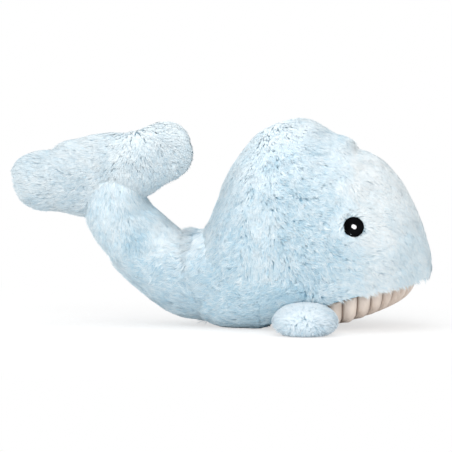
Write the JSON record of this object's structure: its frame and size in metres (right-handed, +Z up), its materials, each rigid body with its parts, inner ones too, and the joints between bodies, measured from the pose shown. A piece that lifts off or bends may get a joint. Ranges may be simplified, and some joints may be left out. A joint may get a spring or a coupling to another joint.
{
  "type": "plush whale",
  "caption": "Stuffed toy whale lying on its belly: domed furry head and body, curled-up tail with an upright two-lobed fluke, soft flippers, ribbed smooth belly and stitched eyes.",
  "frame": {"origin": "under the middle of the toy's box, on the surface it lies on", "axes": "+X towards the snout, +Y towards the whale's left, +Z up"},
  "size_m": [0.3458, 0.1952, 0.171],
  "materials": {
    "flank_fur": "long-pile pale blue fur cloth, deeper blue in the partings",
    "forehead_fur": "long-pile fur cloth, combed smooth and a little paler",
    "flipper_fur": "fluffy very pale blue fur cloth",
    "ribbed_cloth": "smooth matte beige cloth sewn in raised ribs",
    "fibre": "white polyester fibre filling",
    "eye_cloth": "matte black stitched patch with a raised edge",
    "eye_thread": "white embroidery thread"
  },
  "bodies": {
    "body": {"body_stuffing": "fibre", "right_side_panel": "flank_fur", "left_side_panel": "flank_fur", "forehead_gusset": "forehead_fur", "belly_panel": "ribbed_cloth", "right_tail_panel": "flank_fur", "left_tail_panel": "flank_fur", "tail_stuffing": "fibre", "right_eye": "eye_cloth", "left_eye": "eye_cloth", "right_eye_glint": "eye_thread", "left_eye_glint": "eye_thread"},
    "fluke": {"fluke_right_panel": "flank_fur", "fluke_left_panel": "flank_fur", "fluke_stuffing": "fibre"},
    "right_flipper": {"right_flipper_top": "flipper_fur", "right_flipper_bottom": "flipper_fur", "right_flipper_stuffing": "fibre"},
    "left_flipper": {"left_flipper_top": "flipper_fur", "left_flipper_bottom": "flipper_fur", "left_flipper_stuffing": "fibre"}
  },
  "joints": [
    {"name": "fluke_sway", "type": "hinge", "parent": "body", "child": "fluke", "pos_m": [-0.08662, 0, 0.096], "axis": [0.9659, 0, 0.2588], "range_deg": [-25, 25], "stiffness_Nm_per_rad": 0.4},
    {"name": "right_flipper_lift", "type": "hinge", "parent": "body", "child": "right_flipper", "pos_m": [0.07358, -0.05718, 0.0257], "axis": [-0.9945, -0.1045, 0], "range_deg": [0, 45], "stiffness_Nm_per_rad": 0.05},
    {"name": "left_flipper_lift", "type": "hinge", "parent": "body", "child": "left_flipper", "pos_m": [0.07358, 0.05718, 0.0257], "axis": [0.9945, -0.1045, 0], "range_deg": [0, 45], "stiffness_Nm_per_rad": 0.05}
  ]
}
